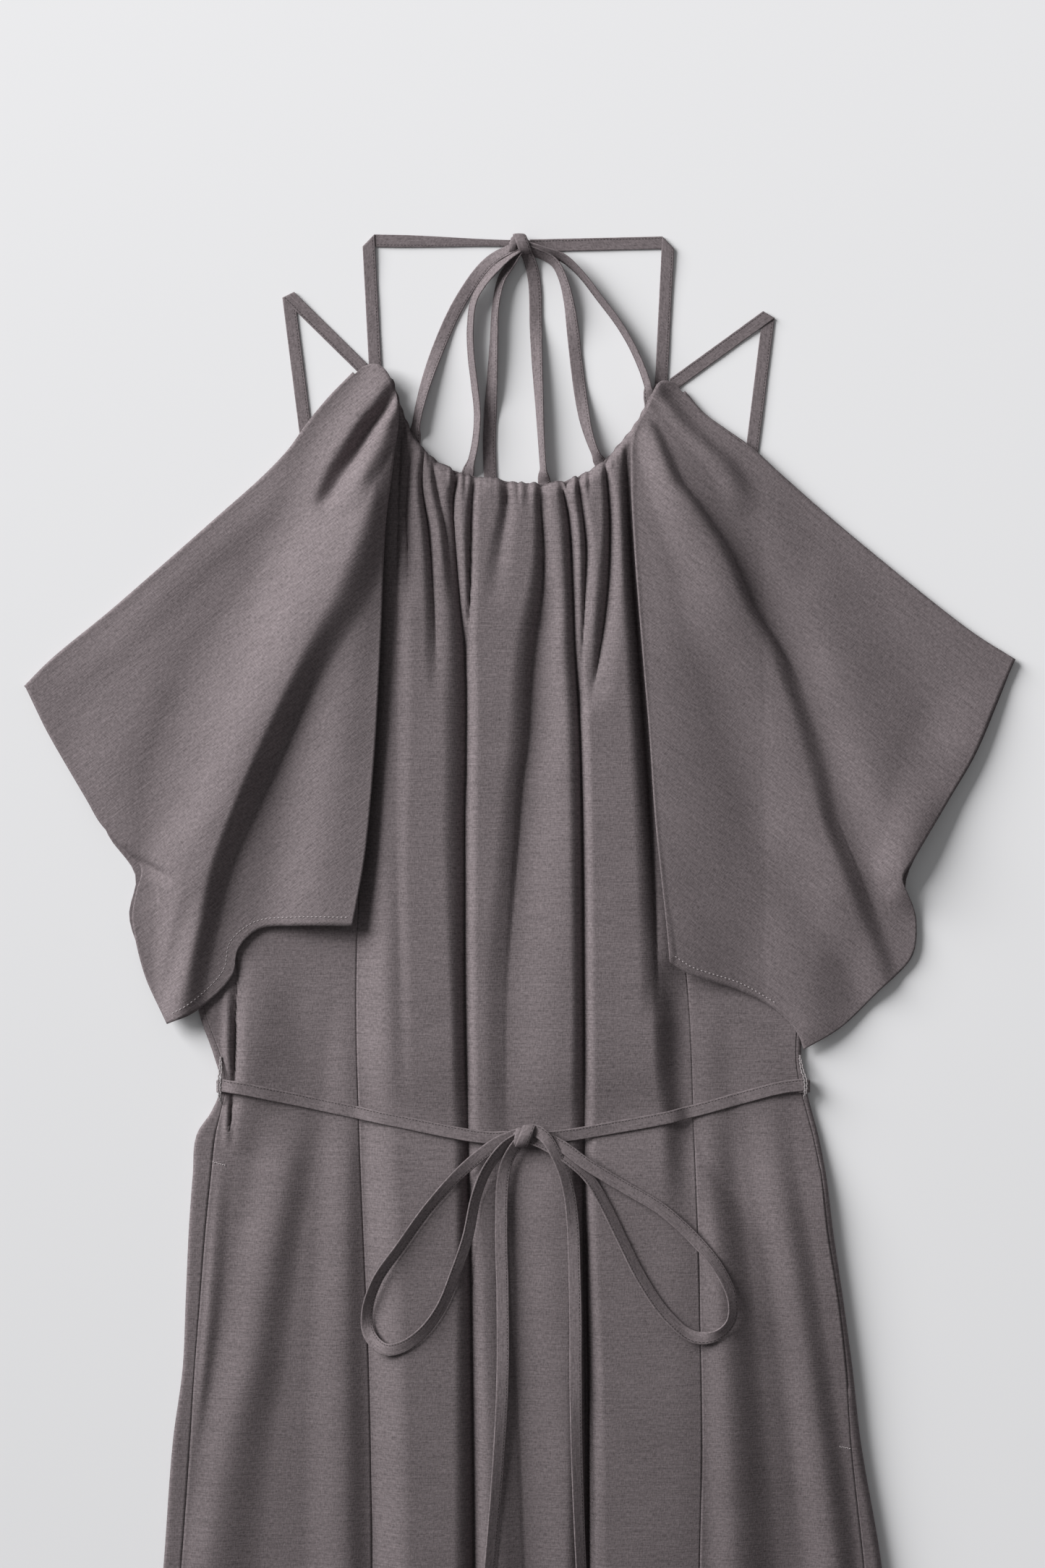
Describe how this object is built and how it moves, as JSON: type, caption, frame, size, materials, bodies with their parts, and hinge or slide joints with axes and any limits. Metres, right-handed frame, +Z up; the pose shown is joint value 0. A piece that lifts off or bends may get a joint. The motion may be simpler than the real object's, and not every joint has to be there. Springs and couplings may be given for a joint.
{
  "type": "halter dress",
  "caption": "Long halter dress laid flat, with a gathered neckline, cape sleeves, folded straps tied at the neck and a narrow tied belt.",
  "frame": {"origin": "middle of the dress on the surface that it lies on", "axes": "+Y from the hem towards the neck, +Z up from the surface through the front, +X to the right in the picture"},
  "size_m": [0.6312, 1.2819, 0.0236],
  "materials": {
    "cloth": "matte plain weave",
    "strap_cloth": "matte plain weave",
    "thread": "matte thread"
  },
  "bodies": {
    "root": {"front_center_panel": "cloth", "front_side_panel_left": "cloth", "front_side_panel_right": "cloth", "back_panel": "cloth", "sleeve_left": "cloth", "sleeve_right": "cloth", "neckline_casing": "cloth", "pocket_bag_left": "cloth", "pocket_bag_right": "cloth", "neck_strap_left": "strap_cloth", "neck_strap_right": "strap_cloth", "shoulder_strap_left": "strap_cloth", "shoulder_strap_right": "strap_cloth", "neck_bow_loop_left": "strap_cloth", "neck_bow_tail_left": "strap_cloth", "neck_bow_tail_right": "strap_cloth", "neck_bow_loop_right": "strap_cloth", "belt_bow_tail_left": "strap_cloth", "belt_bow_tail_right": "strap_cloth", "belt_bow_loop_left": "strap_cloth", "belt_bow_loop_right": "strap_cloth", "belt_front_left": "strap_cloth", "belt_front_right": "strap_cloth", "belt_back": "strap_cloth", "neck_knot": "strap_cloth", "belt_knot": "strap_cloth", "thread_loop_left": "thread", "thread_loop_right": "thread"}
  },
  "joints": []
}
